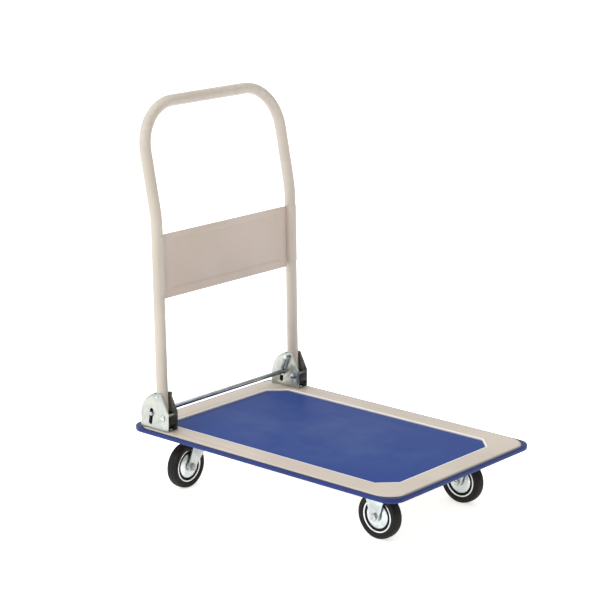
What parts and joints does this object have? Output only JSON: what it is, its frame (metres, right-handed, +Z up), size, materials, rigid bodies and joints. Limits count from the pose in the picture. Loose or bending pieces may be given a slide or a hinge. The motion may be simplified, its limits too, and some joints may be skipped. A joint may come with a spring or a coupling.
{
  "type": "folding platform cart",
  "caption": "Folding platform cart: flat steel deck with a blue mat and bumper, hoop handle that folds forward, and swivel and fixed casters.",
  "frame": {"origin": "on the floor, under the centre of the platform and of the whole object's box", "axes": "+Z up, +X to the front (away from the handle), +Y to the left of the person who pushes"},
  "size_m": [0.74, 0.48, 0.8487],
  "materials": {
    "bar_zinc": "bright zinc plate",
    "bracket_zinc": "bright zinc plate",
    "bumper_vinyl": "satin blue vinyl",
    "deck_paint": "satin beige powder coat",
    "fastener_zinc": "bright zinc plate",
    "foot_nylon": "black moulded nylon",
    "fork_zinc": "zinc plate",
    "handle_paint": "satin beige powder coat",
    "hub_nylon": "natural nylon",
    "mat_vinyl": "textured blue vinyl",
    "panel_paint": "satin pinkish beige powder coat",
    "rim_zinc": "bright zinc plate",
    "spring_steel": "zinc-plated spring wire",
    "tyre": "black rubber"
  },
  "bodies": {
    "platform": {"deck_tray": "deck_paint", "deck_stiffeners": "deck_paint", "edge_bumper": "bumper_vinyl", "deck_mat": "mat_vinyl", "left_hinge_bracket": "bracket_zinc", "right_hinge_bracket": "bracket_zinc", "bracket_screws": "fastener_zinc", "bracket_nuts": "fastener_zinc", "pivot_bolts": "fastener_zinc", "pivot_sleeves": "fastener_zinc", "pivot_nuts": "fastener_zinc", "spring_studs": "fastener_zinc", "cheek_rivets": "fastener_zinc", "left_return_spring": "spring_steel", "right_return_spring": "spring_steel", "caster_studs": "fastener_zinc", "caster_nuts": "fastener_zinc", "front_left_fork": "fork_zinc", "front_left_axle": "fastener_zinc", "front_left_axle_nut": "fastener_zinc", "rear_left_top_plate": "fork_zinc", "rear_left_kingpin": "fastener_zinc", "front_right_fork": "fork_zinc", "front_right_axle": "fastener_zinc", "front_right_axle_nut": "fastener_zinc", "rear_right_top_plate": "fork_zinc", "rear_right_kingpin": "fastener_zinc"},
    "handle": {"handle_tube": "handle_paint", "handle_panel": "panel_paint", "left_foot": "foot_nylon", "right_foot": "foot_nylon", "foot_rivets": "fastener_zinc"},
    "foot_bar": {"foot_bar": "bar_zinc", "bar_clips": "fastener_zinc"},
    "rear_left_swivel": {"rear_left_fork": "fork_zinc", "rear_left_race_cup": "fork_zinc", "rear_left_balls": "fastener_zinc", "rear_left_axle": "fastener_zinc", "rear_left_axle_nut": "fastener_zinc"},
    "rear_right_swivel": {"rear_right_fork": "fork_zinc", "rear_right_race_cup": "fork_zinc", "rear_right_balls": "fastener_zinc", "rear_right_axle": "fastener_zinc", "rear_right_axle_nut": "fastener_zinc"},
    "front_left_wheel": {"front_left_tyre": "tyre", "front_left_outer_rim": "rim_zinc", "front_left_inner_rim": "rim_zinc", "front_left_hub": "hub_nylon"},
    "front_right_wheel": {"front_right_tyre": "tyre", "front_right_outer_rim": "rim_zinc", "front_right_inner_rim": "rim_zinc", "front_right_hub": "hub_nylon"},
    "rear_left_wheel": {"rear_left_tyre": "tyre", "rear_left_outer_rim": "rim_zinc", "rear_left_inner_rim": "rim_zinc", "rear_left_hub": "hub_nylon"},
    "rear_right_wheel": {"rear_right_tyre": "tyre", "rear_right_outer_rim": "rim_zinc", "rear_right_inner_rim": "rim_zinc", "rear_right_hub": "hub_nylon"}
  },
  "joints": [
    {"name": "handle_fold", "type": "hinge", "parent": "platform", "child": "handle", "pos_m": [-0.2745, 0, 0.1645], "axis": [0, 1, 0], "range_deg": [0, 91]},
    {"name": "foot_bar_press", "type": "slide", "parent": "platform", "child": "foot_bar", "axis": [-0.1564, 0, -0.9877], "range_m": [0, 0.018], "stiffness_N_per_m": 1200, "springref_m": -0.01, "deforming": ["left_return_spring", "right_return_spring"]},
    {"name": "rear_left_swivel_turn", "type": "hinge", "parent": "platform", "child": "rear_left_swivel", "pos_m": [-0.258, 0.1405, 0.05], "axis": [0, 0, 1], "continuous": true},
    {"name": "rear_right_swivel_turn", "type": "hinge", "parent": "platform", "child": "rear_right_swivel", "pos_m": [-0.258, -0.1405, 0.05], "axis": [0, 0, 1], "continuous": true},
    {"name": "rear_left_wheel_spin", "type": "hinge", "parent": "rear_left_swivel", "child": "rear_left_wheel", "pos_m": [-0.297, 0.1405, 0.05], "axis": [0, -1, 0], "continuous": true},
    {"name": "rear_right_wheel_spin", "type": "hinge", "parent": "rear_right_swivel", "child": "rear_right_wheel", "pos_m": [-0.25664, -0.17948, 0.05], "axis": [0.9994, 0.0349, 0], "continuous": true},
    {"name": "front_left_wheel_spin", "type": "hinge", "parent": "platform", "child": "front_left_wheel", "pos_m": [0.2565, 0.1405, 0.05], "axis": [0, 1, 0], "continuous": true},
    {"name": "front_right_wheel_spin", "type": "hinge", "parent": "platform", "child": "front_right_wheel", "pos_m": [0.2565, -0.1405, 0.05], "axis": [0, 1, 0], "continuous": true}
  ]
}
